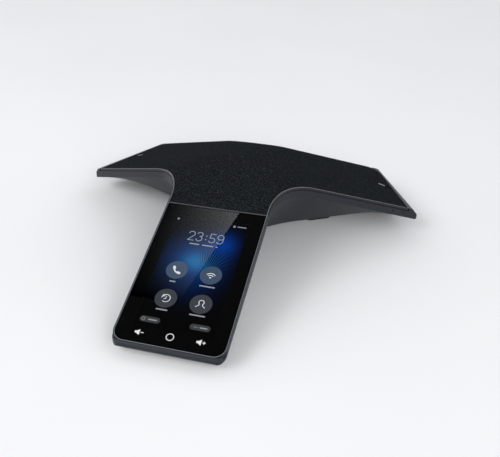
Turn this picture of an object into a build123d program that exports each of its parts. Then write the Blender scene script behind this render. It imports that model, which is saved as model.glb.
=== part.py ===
from build123d import *
from functools import lru_cache
import math
import os

# Table-top IP conference phone: three arms at 120 degrees fall away from a raised hub.
# The front arm carries a portrait touch display, the two wings are covered in fabric.
# Millimetres, +Z up, +X right, the display arm points along -Y.
# Everything is drawn about the hub axis, with z = 0 on the table, and shifted along Y
# when it is written, so that the origin is the centre of the phone's footprint.

# ---- Roof: a three-sided pyramid with rounded ridges ---------------------------------
TILT = 18.7            # slope of every arm, degrees
APEX_Z = 75.8          # height of the sharp apex
RIDGE_R = 110.7        # radius of the ridges
FRONT, RIGHT, LEFT = -90, 30, 150     # arm directions, degrees
ARMS = (FRONT, RIGHT, LEFT)

# ---- Outline in plan -----------------------------------------------------------------
FRONT_REACH = 194.7    # hub axis to the front end of the trim
ARM_HALF_W = 43.3      # front arm, half width
WING_FRONT_HALF = 46.1   # wing axis to its front side
WING_REAR_HALF = 48.0    # wing axis to its rear side
WING_REACH = 157.8     # hub axis to the cut end of the fabric, along the cut's normal
WING_CUT_ANGLE = 22.4  # plan angle of the cut's normal
FRONT_CORNER_R = 9.5
FRONT_NOTCH_R = 54.3
WING_TIP_R = 3.0
WING_REAR_R = 12.0
REAR_NOTCH_R = 37.0
WING_NOSE = 9.6        # case beyond the fabric at a wing end
FRONT_NOSE = 2.0       # case beyond the trim at the front end
WING_NOSE_ANGLE = 24.3         # plan angle of the nose's normal: it narrows towards the rear
WING_NOSE_REACH = 156.9        # hub axis to the fabric's front corner along that normal
WING_NOSE_FACE = (3.5, 51.0)   # upper end face: start beyond the fabric, degrees below level
WING_NOSE_R = 2.6              # rounding under that face
WING_NOSE_CENTRE = (6.6, -9.7)     # its centre: beyond the fabric, and from the roof there
WING_NOSE_STEPS = (71, 91, 111, 131, 151, 171)   # slopes of the facets round it
FRONT_FACETS = ((0.0, 45.0), (1.1, 75.0), (3.6, 125.0))   # front end faces: start, slope

# ---- Section through the body --------------------------------------------------------
BAND = 8.6             # height of the side band below the roof
BAND_SPREAD = 1.4      # the band is this much deeper at the outer end of a wing's front side
FRONT_BAND = 4.3       # height of the band at the front end of the display arm
KEEL_Z = 2.0           # flat underside above the table
FLANK = 40.0           # plan width of the falling flank
FRONT_FLANK = 14.0     # the same at the front end's sides
FRONT_RISE = 26.0      # plan length of the rise of the underside at the front end
FLANK_OVERRUN = 6.0    # the flank tools reach this far past the outline
STRAIGHT_S = 66.0      # each arm is straight and flat-topped beyond this distance
WALL = 2.4
WALL_RISE = 2.8        # the same wall measured upright on a flank
TRIM_W = 1.1           # visible width of the bright trim
TRIM_H = 2.0           # visible height of the trim
GROOVE = 0.6           # shadow gap between trim and case
LIP_IN, LIP_OUT, LIP_H = 3.7, 2.7, 3.0   # locating lip of the trim inside the wall
SKIN_TOP, SKIN_BOTTOM = 0.3, 1.2         # fabric, measured down from the roof
CARRIER_TOP, CARRIER_BOTTOM = 1.25, 3.2  # moulded carrier below the fabric
SEAM_S = 64.5          # hub axis to the fabric and glass seam
SEAM_W = 1.0
GAP = 0.1              # assembly clearance

# ---- Display -------------------------------------------------------------------------
GLASS_HALF_W = 42.0
GLASS_END = 193.2      # hub axis to the glass's front edge
GLASS_CORNER_R = 8.0
LCD_W, LCD_L = 66.0, 114.0     # outside size of the LCD cell
LCD_S = 128.1                  # centre of the cell, plan distance from the hub axis
TOUCH_KEY_S = 187.0
MUTE_KEY_XY = (128.4, 76.0)    # centre of the mute key near each wing end
MUTE_KEY_L, MUTE_KEY_W = 12.5, 4.4
MUTE_LIGHT_L, MUTE_LIGHT_W = 6.6, 1.3
MIC_S = (135.9, 147.6)         # microphone holes along each wing's front side
MIC_DROP = 5.7
MIC_HOLE_R = 0.65

# ---- Loudspeaker, around the hub axis ------------------------------------------------
BOX_R, BOX_FLOOR, BOX_RIM, BOX_WALL = 37.0, 27.0, 54.3, 2.0
BASKET_R, CONE_R = 30.0, 22.5
COIL_IN, COIL_OUT = 8.55, 9.25
COIL_GAP = 0.35
CONE_FOOT_Z, CONE_TOP_Z = 45.0, 54.0

# ---- Port bay in the rear flank ------------------------------------------------------
BAY_HALF_W = 34.0
BAY_WALL_Y = 20.0      # plane that the sockets open in
BAY_FLOOR, BAY_TOP = 5.4, 23.5
BAY_WALL = 2.0
PORT_BOARD_Z, PORT_BOARD_T, PORT_BOARD_HALF_W = 5.0, 1.2, 23.2
PORT_SEAT_Z = PORT_BOARD_Z + PORT_BOARD_T
NETWORK_X, USB_A_X, USB_C_X, LOCK_X = -15.0, 4.0, 18.5, 28.5
MAIN_BOARD_Z, MAIN_BOARD_T = 21.4, 1.6

# ---- Feet, ballast and screws --------------------------------------------------------
FOOT_L, FOOT_W, FOOT_SINK = 26.0, 10.5, 1.2
FOOT_S = {FRONT: 150.0, RIGHT: 82.0, LEFT: 82.0}
SCREW_S = {FRONT: 112.0, RIGHT: 116.0, LEFT: 116.0}
SCREW_R, SCREW_HEAD_R, SCREW_HEAD_H, SCREW_L = 1.3, 2.8, 1.8, 9.0

SIN_T, COS_T, TAN_T = (f(math.radians(TILT)) for f in (math.sin, math.cos, math.tan))
BIG = 400.0


def along(angle, distance):
    """Plan point at a distance from the hub axis."""
    return (distance * math.cos(math.radians(angle)), distance * math.sin(math.radians(angle)))


def crossing(side_a, side_b):
    """Plan point where two sides meet, each given as (normal angle, distance)."""
    (a, p), (b, q) = side_a, side_b
    a, b = math.radians(a), math.radians(b)
    det = math.sin(b - a)
    x = (p * math.sin(b) - q * math.sin(a)) / det
    y = (q * math.cos(a) - p * math.cos(b)) / det
    return (x, y)


def outline(inset=0.0, wing_nose=0.0, front_nose=0.0):
    """Y-shaped plan outline as a face. A positive inset shrinks it all round."""
    front = (FRONT, FRONT_REACH + front_nose)
    right_half = [(0, ARM_HALF_W), (-60, WING_FRONT_HALF),
                  (WING_CUT_ANGLE, WING_REACH + wing_nose), (120, WING_REAR_HALF)]
    left_half = [(180 - angle, distance) for angle, distance in reversed(right_half)]
    sides = [(a, d - inset) for a, d in [front] + right_half + left_half]
    convex_radii = {0: FRONT_CORNER_R, 2: WING_TIP_R, 3: WING_REAR_R}
    notch_radii = {1: FRONT_NOTCH_R, 4: REAR_NOTCH_R}
    half_radii = [max(convex_radii[i] - inset, 0.4) if i in convex_radii
                  else notch_radii[i] + inset for i in range(5)]
    radii = half_radii + half_radii[3::-1]
    corners = [crossing(sides[i], sides[(i + 1) % 9]) for i in range(9)]
    return make_face(FilletPolyline(*corners, radius=radii, close=True))


def prism(face, low=-20.0, high=120.0):
    """Vertical prism on a plan face."""
    return extrude(Pos(0, 0, low) * face, high - low, dir=(0, 0, 1))


@lru_cache(maxsize=None)
def roof_block(drop=0.0):
    """Everything below the roof, moved inwards by drop at right angles to it."""
    block = Cylinder(300, 240)
    apex = (0, 0, APEX_Z - drop / COS_T)
    for arm in ARMS:
        x, y = along(arm, SIN_T)
        block = split(block, Plane(origin=apex, z_dir=(x, y, COS_T)), keep=Keep.BOTTOM)
    ridges = [e for e in block.edges() if e.geom_type == GeomType.LINE
              and min((e @ 0 - Vector(apex)).length, (e @ 1 - Vector(apex)).length) < 1e-3]
    return fillet(ridges, RIDGE_R - drop)


def roof_z(x, y):
    """Height of the rounded roof above a plan point."""
    heads = [along(arm, 1.0) for arm in ARMS]
    shift = RIDGE_R * SIN_T
    for hx, hy in heads:
        foot = (x - shift * hx, y - shift * hy)
        reach = [foot[0] * kx + foot[1] * ky for kx, ky in heads]
        if foot[0] * hx + foot[1] * hy >= max(reach) - 1e-9:
            return APEX_Z - TAN_T * (x * hx + y * hy)
    best = -BIG
    slope = -0.5 * TAN_T
    for hx, hy in heads:
        a = -(x * hx + y * hy)
        span = max(RIDGE_R ** 2 - (x * x + y * y - a * a), 1e-6)
        u = -slope * math.sqrt(span / (1 + slope * slope))
        t = max(a - u, 0.0)
        u = a - t
        rise = math.sqrt(max(span - u * u, 0.0))
        best = max(best, APEX_Z - RIDGE_R / COS_T + t * slope + rise)
    return best


def flank_section(origin, outward, crease_z, width=FLANK):
    """Upright face under the flank, square to the edge of the outline at origin."""
    fall = (crease_z - KEEL_Z) / width
    reach_in = width + FLANK_OVERRUN
    corners = [(FLANK_OVERRUN, crease_z + fall * FLANK_OVERRUN),
               (-reach_in, crease_z - fall * reach_in), (-reach_in, -30.0), (FLANK_OVERRUN, -30.0)]
    points = [Vector(origin[0] + out * outward[0], origin[1] + out * outward[1], z)
              for out, z in corners]
    return make_face(Polyline(*points, close=True))


def side_frame(arm, turn, side_half, s):
    """Point on an arm's side at a distance s from the hub axis, and its outward normal."""
    ax, ay = along(arm, 1.0)
    nx, ny = along(arm + turn, 1.0)
    return (s * ax + side_half * nx, s * ay + side_half * ny), (nx, ny)


def arm_flank(arm, turn, side_half, reach, end_band=BAND, end_width=FLANK):
    """Space under the flank along the straight side of one arm."""
    faces = []
    for s, band, width in ((STRAIGHT_S, BAND, FLANK), (reach, end_band, end_width)):
        origin, outward = side_frame(arm, turn, side_half, s)
        faces.append(flank_section(origin, outward, APEX_Z - TAN_T * s - band, width))
    return loft(faces, ruled=True)


def notch_flank(arm, half_w, next_half_w, radius):
    """Space under the flank around the notch between an arm and the next one round."""
    turn = 90
    cx, cy = crossing((arm + 90, half_w + radius), (arm + 30, next_half_w + radius))
    stations = [side_frame(arm, turn, half_w, STRAIGHT_S)]
    for normal in (90, 78, 66, 54, 42, 30):
        ux, uy = along(arm + normal, 1.0)
        stations.append(((cx - radius * ux, cy - radius * uy), (ux, uy)))
    stations.append(side_frame(arm + 120, -turn, next_half_w, STRAIGHT_S))
    return loft([flank_section(p, out, roof_z(*p) - BAND) for p, out in stations])


def end_flank(arm, angle):
    """Space under the short rise towards the end of a wing."""
    ux, uy = along(angle, 1.0)
    ax, ay = along(arm, 1.0)
    faces = []
    for side in (-70, 70):
        x, y = (WING_REACH + WING_NOSE) * ux - side * uy, (WING_REACH + WING_NOSE) * uy + side * ux
        faces.append(flank_section((x, y), (ux, uy), APEX_Z - TAN_T * (x * ax + y * ay) - BAND))
    return loft(faces, ruled=True)


def front_end_flank():
    """Space under the short rise at the front end of the display arm."""
    reach = FRONT_REACH + FRONT_NOSE
    faces = [flank_section((x, -reach), (0, -1), APEX_Z - TAN_T * reach - FRONT_BAND, FRONT_RISE)
             for x in (-60, 60)]
    return loft(faces, ruled=True)


def under_space():
    """All the space under the flanks."""
    front_end = FRONT_REACH + FRONT_NOSE
    pieces = [notch_flank(FRONT, ARM_HALF_W, WING_FRONT_HALF, FRONT_NOTCH_R),
              notch_flank(RIGHT, WING_REAR_HALF, WING_REAR_HALF, REAR_NOTCH_R),
              notch_flank(LEFT, WING_FRONT_HALF, ARM_HALF_W, FRONT_NOTCH_R)]
    for turn in (-90, 90):
        pieces.append(arm_flank(FRONT, turn, ARM_HALF_W, front_end + FLANK_OVERRUN,
                                FRONT_BAND, FRONT_FLANK))
    for arm, front_turn in ((RIGHT, -90), (LEFT, 90)):
        pieces.append(arm_flank(arm, front_turn, WING_FRONT_HALF, 180, BAND + BAND_SPREAD))
        pieces.append(arm_flank(arm, -front_turn, WING_REAR_HALF, 190))
    pieces.append(end_flank(RIGHT, WING_CUT_ANGLE))
    pieces.append(end_flank(LEFT, 180 - WING_CUT_ANGLE))
    pieces.append(front_end_flank())
    return pieces


def layer(face, top, bottom):
    """Part of a vertical prism between two depths below the roof."""
    return (prism(face) & roof_block(top)) - roof_block(bottom)


def ring(outer, inner):
    """Plan ring between two insets of the outline."""
    return outline(outer) - outline(inner)


def box_between(low, high):
    """Box from its lowest and highest corners."""
    size = [h - l for l, h in zip(low, high)]
    return Pos(*[(l + h) / 2 for l, h in zip(low, high)]) * Box(*size)


def arm_place(arm, s, across=0.0, drop=0.0):
    """Frame on an arm's top plane: X along the arm, Z square to the plane."""
    ax, ay = along(arm, 1.0)
    nx, ny = -ay, ax
    top = (s * ax + across * nx, s * ay + across * ny, APEX_Z - TAN_T * s)
    normal = Vector(SIN_T * ax, SIN_T * ay, COS_T)
    plane = Plane(origin=Vector(*top) - normal * drop, x_dir=(ax, ay, -TAN_T), z_dir=normal)
    return Location(plane)


def arm_slab(arm, s, across, length, width, top, bottom):
    """Flat slab lying parallel to an arm's top plane between two depths."""
    return arm_place(arm, s, across, (top + bottom) / 2) * Box(length, width, bottom - top)


def flat_place(arm, s, z, across=0.0):
    """Level frame on an arm's axis, X along the arm."""
    ax, ay = along(arm, 1.0)
    return Pos(s * ax - across * ay, s * ay + across * ax, z) * Rot(0, 0, arm)


def turned(*points):
    """Solid of revolution about the hub axis from (radius, z) corners."""
    return revolve(make_face(Polyline(*[(r, 0, z) for r, z in points], close=True)), Axis.Z)


def nose_cut(angle, distance, arm, slope):
    """Plane of a sloping end face that meets the roof at a distance from the hub axis."""
    ux, uy = along(angle, 1.0)
    ax, ay = along(arm, 1.0)
    x, y = distance * ux, distance * uy
    edge = Vector(-uy, ux, -TAN_T * (-uy * ax + ux * ay))
    down = Vector(ux * math.cos(math.radians(slope)), uy * math.cos(math.radians(slope)),
                  -math.sin(math.radians(slope)))
    origin = Vector(x, y, APEX_Z - TAN_T * (x * ax + y * ay))
    return Plane(origin=origin, x_dir=edge, z_dir=down.cross(edge))


def wing_cuts():
    """Facets of a wing's end as (distance, slope): its upper face, then round the nose."""
    start, slope = WING_NOSE_FACE
    cuts = [(WING_NOSE_REACH + start, slope)]
    out, up = WING_NOSE_CENTRE
    roof_fall = TAN_T * math.cos(math.radians(RIGHT - WING_NOSE_ANGLE))
    for step in WING_NOSE_STEPS:
        across, rise = math.sin(math.radians(step)), math.cos(math.radians(step))
        offset = (WING_NOSE_R + out * across + up * rise) / (across - roof_fall * rise)
        cuts.append((WING_NOSE_REACH + offset, step))
    return cuts


def outer_body():
    """The whole phone's outside form, filled."""
    body = prism(outline(0, WING_NOSE, FRONT_NOSE), KEEL_Z) & roof_block()
    for tool in under_space():
        body = body - tool
    planes = [nose_cut(FRONT, FRONT_REACH + start, FRONT, slope) for start, slope in FRONT_FACETS]
    for distance, slope in wing_cuts():
        planes.append(nose_cut(WING_NOSE_ANGLE, distance, RIGHT, slope))
        planes.append(nose_cut(180 - WING_NOSE_ANGLE, distance, LEFT, slope))
    for plane in planes:
        body = split(body, plane, keep=Keep.BOTTOM)
    return body


def case_bosses():
    """Screw posts on the three arms."""
    return [flat_place(arm, s, 10) * Cylinder(3.6, 16) for arm, s in SCREW_S.items()]


def bottom_case(outer, flanks):
    """Open-topped lower shell with the side band, port bay, screw posts and foot recesses."""
    # The seat for the trim is open along the sides, and stops at the noses at the arm ends.
    seat = prism(outline(-5, -5, -5)) - roof_block(TRIM_H + GROOVE)
    shell = outer - seat
    hollow = prism(outline(WALL), KEEL_Z + WALL)
    for tool in flanks:
        hollow = hollow - Pos(0, 0, WALL_RISE) * tool
    bay_out = BAY_HALF_W + BAY_WALL
    hollow = hollow - box_between((-bay_out, BAY_WALL_Y - BAY_WALL, 0),
                                  (bay_out, 90, BAY_TOP + BAY_WALL))
    for boss in case_bosses():
        hollow = hollow - boss
    for room in hollow.solids():
        shell = shell - room
    shell = shell - layer(ring(WALL, LIP_IN + GAP), TRIM_H, LIP_H + 2 * GAP)
    shell = shell - box_between((-BAY_HALF_W, BAY_WALL_Y, BAY_FLOOR), (BAY_HALF_W, 90, BAY_TOP))
    shell = shell - box_between((-BAY_HALF_W + 2, BAY_WALL_Y - BAY_WALL - 1, BAY_FLOOR),
                                (BAY_HALF_W - 2, BAY_WALL_Y + 1, BAY_TOP - 1))
    for arm, s in FOOT_S.items():
        recess = flat_place(arm, s, 0) * SlotOverall(FOOT_L + 0.4, FOOT_W + 0.4)
        shell = shell - extrude(recess, KEEL_Z + FOOT_SINK, dir=(0, 0, 1))
    for arm, s in SCREW_S.items():
        shell = shell - flat_place(arm, s, KEEL_Z + 1) * Cylinder(SCREW_HEAD_R + 0.3, 2 * SCREW_HEAD_H)
        shell = shell - flat_place(arm, s, 8) * Cylinder(SCREW_R + 0.05, 12)
    for arm, turn in ((RIGHT, -90), (LEFT, 90)):
        for s in MIC_S:
            (x, y), (nx, ny) = side_frame(arm, turn, WING_FRONT_HALF, s)
            hole = Plane(origin=(x - 4 * nx, y - 4 * ny, roof_z(x, y) - MIC_DROP), z_dir=(nx, ny, 0))
            shell = shell - extrude(hole * Circle(MIC_HOLE_R), 8)
    return shell


def wing_face(inset, front_s):
    """Plan of the hub and wings, ending at a distance front_s along the display arm."""
    return outline(inset) - Pos(0, -front_s - 100) * Rectangle(200, 200)


def mute_slot(side, grow=0.0):
    """Plan slot of a mute key."""
    x, y = MUTE_KEY_XY
    return Pos(side * x, y) * SlotOverall(MUTE_KEY_L + 2 * grow, MUTE_KEY_W + 2 * grow)


def light_slot(side, grow=0.0):
    """Plan slot of the light bar inside a mute key, towards the hub."""
    x, y = MUTE_KEY_XY
    return Pos(side * (x - 1.6), y) * SlotOverall(MUTE_LIGHT_L + 2 * grow, MUTE_LIGHT_W + 2 * grow)


def top_trim():
    """Bright rim round the whole roof, with a flange for the fabric and glass and a lip."""
    rim = layer(ring(0, TRIM_W), 0, TRIM_H)
    flange = layer(ring(TRIM_W / 2, LIP_IN), CARRIER_TOP, TRIM_H)
    lip = layer(ring(LIP_OUT, LIP_IN), CARRIER_TOP, LIP_H)
    return rim + flange + lip


def grille_carrier():
    """Moulded carrier under the fabric, pierced over the loudspeaker."""
    face = wing_face(LIP_IN + GAP, SEAM_S + SEAM_W / 2)
    for side in (-1, 1):
        face = face - light_slot(side, 0.15)
    for turn in range(4):
        count = max(6 * turn, 1)
        for i in range(count):
            x, y = along(360 / count * i, 8.0 * turn)
            face = face - Pos(x, y) * Circle(2.2)
    return layer(face, CARRIER_TOP, CARRIER_BOTTOM)


def fabric_skin():
    """Stretched fabric over the hub and both wings."""
    face = wing_face(TRIM_W + GAP, SEAM_S - SEAM_W / 2 - GAP)
    for side in (-1, 1):
        face = face - mute_slot(side, GAP)
    return layer(face, SKIN_TOP, SKIN_BOTTOM)


def seam_strip():
    """Thin bright bar between the fabric and the glass."""
    half_w = ARM_HALF_W - TRIM_W - GAP
    bar = Pos(0, -SEAM_S) * Rectangle(2 * half_w, SEAM_W)
    return layer(bar, 0.05, SKIN_BOTTOM)


def cover_glass():
    """Flat cover glass of the display arm, round at its front corners."""
    rear = -SEAM_S - SEAM_W / 2 - GAP
    corners = [(-GLASS_HALF_W, rear), (-GLASS_HALF_W, -GLASS_END),
               (GLASS_HALF_W, -GLASS_END), (GLASS_HALF_W, rear)]
    face = make_face(FilletPolyline(*corners, radius=[0, GLASS_CORNER_R, GLASS_CORNER_R, 0], close=True))
    return layer(face, GAP, SKIN_BOTTOM)


def display_stack():
    """LCD cell, backlight tray, metal bracket and touch key board under the glass."""
    cell = arm_slab(FRONT, LCD_S, 0, LCD_L, LCD_W, 1.3, 2.6)
    tray = arm_slab(FRONT, LCD_S, 0, LCD_L + 1, LCD_W + 1, 2.65, 3.9)
    bracket = arm_slab(FRONT, LCD_S, 0, LCD_L + 2, LCD_W + 3, 3.95, 4.6)
    bracket = bracket - arm_slab(FRONT, LCD_S, 0, LCD_L - 20, LCD_W - 16, 3.8, 5.0)
    keys = arm_slab(FRONT, TOUCH_KEY_S, 0, 6.4, 62, 1.3, 2.1)
    flex = arm_slab(FRONT, 52, 0, 20, 18, 4.8, 5.1)
    return {"lcd_cell": cell, "backlight_tray": tray, "display_bracket": bracket,
            "touch_key_board": keys, "display_flex": flex}


def mute_keys():
    """Touch key, light bar and board near each wing end."""
    nodes = {}
    for name, side, arm in (("right", 1, RIGHT), ("left", -1, LEFT)):
        nodes[f"{name}_mute_key"] = layer(mute_slot(side) - light_slot(side, 0.05), 0.15, SKIN_BOTTOM)
        nodes[f"{name}_mute_light"] = layer(light_slot(side), 0.1, CARRIER_BOTTOM + 0.1)
        nodes[f"{name}_mute_board"] = arm_slab(arm, 146, 0, 18, 24, 3.4, 4.4)
    return nodes


def microphones():
    """Board and two capsules behind each wing's front wall."""
    nodes, capsules = {}, []
    for name, arm, turn in (("right", RIGHT, -1), ("left", LEFT, 1)):
        across = turn * (WING_FRONT_HALF - 5.4)
        mid = sum(MIC_S) / 2
        nodes[f"{name}_mic_board"] = arm_slab(arm, mid, across, 22, 1.0, 4.6, 7.1)
        for s in MIC_S:
            spot = turn * (WING_FRONT_HALF - 4.3)
            capsules.append(arm_slab(arm, s, spot, 3.6, 1.1, 4.7, 6.8))
    nodes["mic_capsules"] = Compound(children=capsules)
    return nodes


def electronics():
    """Main board, its cans and posts, antennas and wing ribbons."""
    board_z = MAIN_BOARD_Z + MAIN_BOARD_T
    board = outline(29) & Circle(46)
    board = board - Pos(0, BAY_WALL_Y - BAY_WALL - 0.6 + 50) * Rectangle(200, 100)
    nodes = {"main_board": extrude(Pos(0, 0, MAIN_BOARD_Z) * board, MAIN_BOARD_T, dir=(0, 0, 1)),
             "processor_shield": Pos(0, -6, board_z + 1.3) * Box(24, 24, 2.6),
             "radio_module": Pos(0, -29.5, board_z + 1.2) * Box(14, 14, 2.4)}
    spots = [(0, -40), (26, 9.5), (-26, 9.5)]
    low = KEEL_Z + WALL_RISE + 1.2
    height = MAIN_BOARD_Z - low
    nodes["board_posts"] = Compound(children=[
        Pos(x, y, low + height / 2) * (Cylinder(2.6, height) - Cylinder(1.0, height))
        for x, y in spots])
    nodes["board_screws"] = Compound(children=[
        Pos(x, y, board_z + 0.9) * Cylinder(2.3, 1.8) for x, y in spots])
    for name, arm, rear in (("right", RIGHT, 1), ("left", LEFT, -1)):
        nodes[f"{name}_antenna"] = flat_place(arm, 84, 33, rear * 24) * Box(26, 8, 0.8)
        nodes[f"{name}_ballast"] = flat_place(arm, 84, 13) * Box(44, 20, 5)
        nodes[f"{name}_wing_flex"] = flat_place(arm, 81, board_z + 0.2, rear * -8) * Box(90, 7, 0.3)
    return nodes


def ports():
    """Board, panel and sockets of the rear port bay."""
    front = 2.0
    board = box_between((-PORT_BOARD_HALF_W, 4, PORT_BOARD_Z),
                        (PORT_BOARD_HALF_W, BAY_WALL_Y - BAY_WALL - 0.3, PORT_SEAT_Z))
    nodes = {"port_board": board}
    sizes = {"network_socket": (NETWORK_X, 16.0, 13.4), "usb_a_socket": (USB_A_X, 13.2, 5.8),
             "usb_c_socket": (USB_C_X, 9.4, 3.8)}
    panel = box_between((-BAY_HALF_W + 0.2, BAY_WALL_Y + 0.1, BAY_FLOOR + 0.1),
                        (BAY_HALF_W - 0.2, BAY_WALL_Y + 1.3, BAY_TOP - 0.2))
    for name, (x, width, height) in sizes.items():
        low = (x - width / 2, front, PORT_SEAT_Z + 0.05)
        high = (x + width / 2, BAY_WALL_Y + 1.3, PORT_SEAT_Z + 0.05 + height)
        body = box_between(low, high)
        panel = panel - box_between((low[0] - GAP, 0, low[2] - GAP), (high[0] + GAP, 40, high[2] + GAP))
        mid_z = (low[2] + high[2]) / 2
        if name == "network_socket":
            body = body - box_between((x - 6.0, 6, mid_z - 4.2), (x + 6.0, 40, mid_z + 3.8))
            body = body - box_between((x - 3.2, 12, mid_z + 3.7), (x + 3.2, 40, mid_z + 5.6))
            for i in range(8):
                pin_x = x - 3.57 + 1.02 * i
                body = body + box_between((pin_x - 0.2, 5.5, mid_z - 4.0), (pin_x + 0.2, 13, mid_z - 3.5))
        elif name == "usb_a_socket":
            body = body - box_between((x - 6.2, 5, mid_z - 2.5), (x + 6.2, 40, mid_z + 2.5))
            body = body + box_between((x - 5.6, 4.5, mid_z + 0.1), (x + 5.6, BAY_WALL_Y, mid_z + 1.9))
        else:
            body = body - Pos(x, 12, mid_z) * Rot(90, 0, 0) * extrude(SlotOverall(8.6, 3.0), 30, both=True)
            body = body + box_between((x - 4.5, front, mid_z - 1.8), (x + 4.5, front + 1.5, mid_z + 1.8))
            body = body + box_between((x - 3.3, front + 1, mid_z - 0.35),
                                      (x + 3.3, BAY_WALL_Y, mid_z + 0.35))
        nodes[name] = body
    lock_z = PORT_SEAT_Z + 6
    lock = Pos(LOCK_X, BAY_WALL_Y + 0.7, lock_z) * Box(9, 1.1, 10)
    panel = panel - Pos(LOCK_X, BAY_WALL_Y + 0.7, lock_z) * Box(9.2, 4, 10.2)
    slot = Pos(LOCK_X, BAY_WALL_Y + 0.7, lock_z) * Rot(90, 0, 0) * extrude(SlotOverall(7, 3), 5, both=True)
    nodes["lock_plate"] = lock - slot
    nodes["port_panel"] = panel
    return nodes


def loudspeaker():
    """Full-range driver in its sealed box, facing up under the fabric."""
    rim, floor = BOX_RIM, BOX_FLOOR
    inner = BOX_R - BOX_WALL
    pole_r = COIL_IN - COIL_GAP
    gap_r = COIL_OUT + COIL_GAP
    seat = floor + BOX_WALL + 0.1
    plate_z, magnet_z, yoke_z = 36.8, 31.0, seat
    box = turned((0, floor), (BOX_R, floor), (BOX_R, rim), (27.5, rim), (27.5, rim - 2),
                 (inner, rim - 2), (inner, floor + BOX_WALL), (0, floor + BOX_WALL))
    basket = turned((BASKET_R, rim + 0.1), (BASKET_R, rim + 1.7), (26.1, rim + 1.7), (26.1, rim - 0.6),
                    (14.6, 41.2), (10.4, 41.2), (10.4, 40.0), (15.2, 40.0), (26.4, rim - 1.4),
                    (27.0, rim + 0.1))
    for i in range(6):
        basket = basket - Rot(0, 0, 60 * i) * Pos(20, 0, 46.5) * Box(13, 8, 9)
    gasket = turned((27.2, rim + 1.8), (BASKET_R, rim + 1.8), (BASKET_R, rim + 3.4), (27.2, rim + 3.4))
    plate = turned((gap_r, plate_z), (17, plate_z), (17, 39.9), (gap_r, 39.9))
    magnet = turned((11.5, magnet_z), (17.5, magnet_z), (17.5, plate_z), (11.5, plate_z))
    yoke = turned((0, yoke_z), (17, yoke_z), (17, magnet_z), (pole_r, magnet_z), (pole_r, 39.9), (0, 39.9))
    coil_top = CONE_FOOT_Z + 1
    coil = turned((COIL_IN, 34.5), (COIL_OUT, 34.5), (COIL_OUT, coil_top), (COIL_IN, coil_top))
    cone = turned((COIL_OUT, CONE_FOOT_Z), (CONE_R, CONE_TOP_Z), (CONE_R, CONE_TOP_Z + 0.6),
                  (COIL_OUT, CONE_FOOT_Z + 0.6))
    dome = Pos(0, 0, 38.0) * Sphere(13.0) - Pos(0, 0, 38.0) * Sphere(12.5)
    cap = dome & Pos(0, 0, 60) * Box(60, 60, 27.2)
    roll = Torus(24.3, 1.7) - Torus(24.3, 1.3)
    roll = (roll & Pos(0, 0, 5) * Box(80, 80, 10))
    surround = Pos(0, 0, CONE_TOP_Z + 0.65) * roll
    spider = turned((COIL_OUT + 0.1, 42.0), (13.4, 42.0), (13.4, 42.5), (COIL_OUT + 0.1, 42.5))
    return {"speaker_box": box, "speaker_basket": basket, "speaker_gasket": gasket,
            "speaker_top_plate": plate, "speaker_magnet": magnet, "speaker_yoke": yoke,
            "voice_coil": coil, "speaker_cone": cone, "dust_cap": cap,
            "cone_surround": surround, "spider": spider}


def feet_and_screws():
    """Rubber feet, and the screws that hold the lower shell."""
    feet = [extrude(flat_place(arm, s, 0) * SlotOverall(FOOT_L, FOOT_W), KEEL_Z + FOOT_SINK - 0.05,
                    dir=(0, 0, 1)) for arm, s in FOOT_S.items()]
    screws = []
    for arm, s in SCREW_S.items():
        head_top = KEEL_Z + 1 + SCREW_HEAD_H
        head = flat_place(arm, s, head_top - SCREW_HEAD_H / 2) * Cylinder(SCREW_HEAD_R, SCREW_HEAD_H)
        shank = flat_place(arm, s, head_top + SCREW_L / 2) * Cylinder(SCREW_R, SCREW_L)
        cross = flat_place(arm, s, head_top - SCREW_HEAD_H)
        recess = cross * Box(3.2, 0.7, 1.6) + cross * Box(0.7, 3.2, 1.6)
        screws.append(head + shank - recess)
    return {"rubber_feet": Compound(children=feet), "case_screws": Compound(children=screws)}


def all_nodes():
    """Every node by name, drawn about the hub axis."""
    outer = outer_body()
    nodes = {"bottom_case": bottom_case(outer, under_space()), "top_trim": top_trim(),
             "grille_carrier": grille_carrier(), "fabric_skin": fabric_skin(),
             "seam_strip": seam_strip(), "cover_glass": cover_glass()}
    for group in (display_stack(), mute_keys(), microphones(), electronics(), ports(),
                  loudspeaker(), feet_and_screws()):
        nodes.update(group)
    return nodes


plan = outline(0, WING_NOSE, FRONT_NOSE).bounding_box()
HUB_Y = -(plan.min.Y + plan.max.Y) / 2     # hub axis from the centre of the footprint
os.makedirs("parts", exist_ok=True)
for node, shape in all_nodes().items():
    export_step(Pos(0, HUB_Y, 0) * shape, f"parts/{node}.step")
print(f"hub axis at y = {HUB_Y:.3f}")
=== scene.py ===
import bpy
import math
from mathutils import Matrix, Vector
from mathutils.geometry import delaunay_2d_cdt


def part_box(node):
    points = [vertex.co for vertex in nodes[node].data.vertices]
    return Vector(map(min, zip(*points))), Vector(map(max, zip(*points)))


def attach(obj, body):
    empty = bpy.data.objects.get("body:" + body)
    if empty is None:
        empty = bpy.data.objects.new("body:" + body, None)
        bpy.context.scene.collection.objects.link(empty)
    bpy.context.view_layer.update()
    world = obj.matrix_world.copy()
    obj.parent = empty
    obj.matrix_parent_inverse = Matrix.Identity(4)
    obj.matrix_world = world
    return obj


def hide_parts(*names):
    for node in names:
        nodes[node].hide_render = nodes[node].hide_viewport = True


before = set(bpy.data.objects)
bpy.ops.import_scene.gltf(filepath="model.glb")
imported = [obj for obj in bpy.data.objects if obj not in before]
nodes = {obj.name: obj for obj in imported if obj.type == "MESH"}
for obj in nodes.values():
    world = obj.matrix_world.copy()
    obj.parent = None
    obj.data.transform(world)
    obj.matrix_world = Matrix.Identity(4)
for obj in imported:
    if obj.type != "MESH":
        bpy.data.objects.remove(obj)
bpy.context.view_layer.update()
BODY = "phone"

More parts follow.
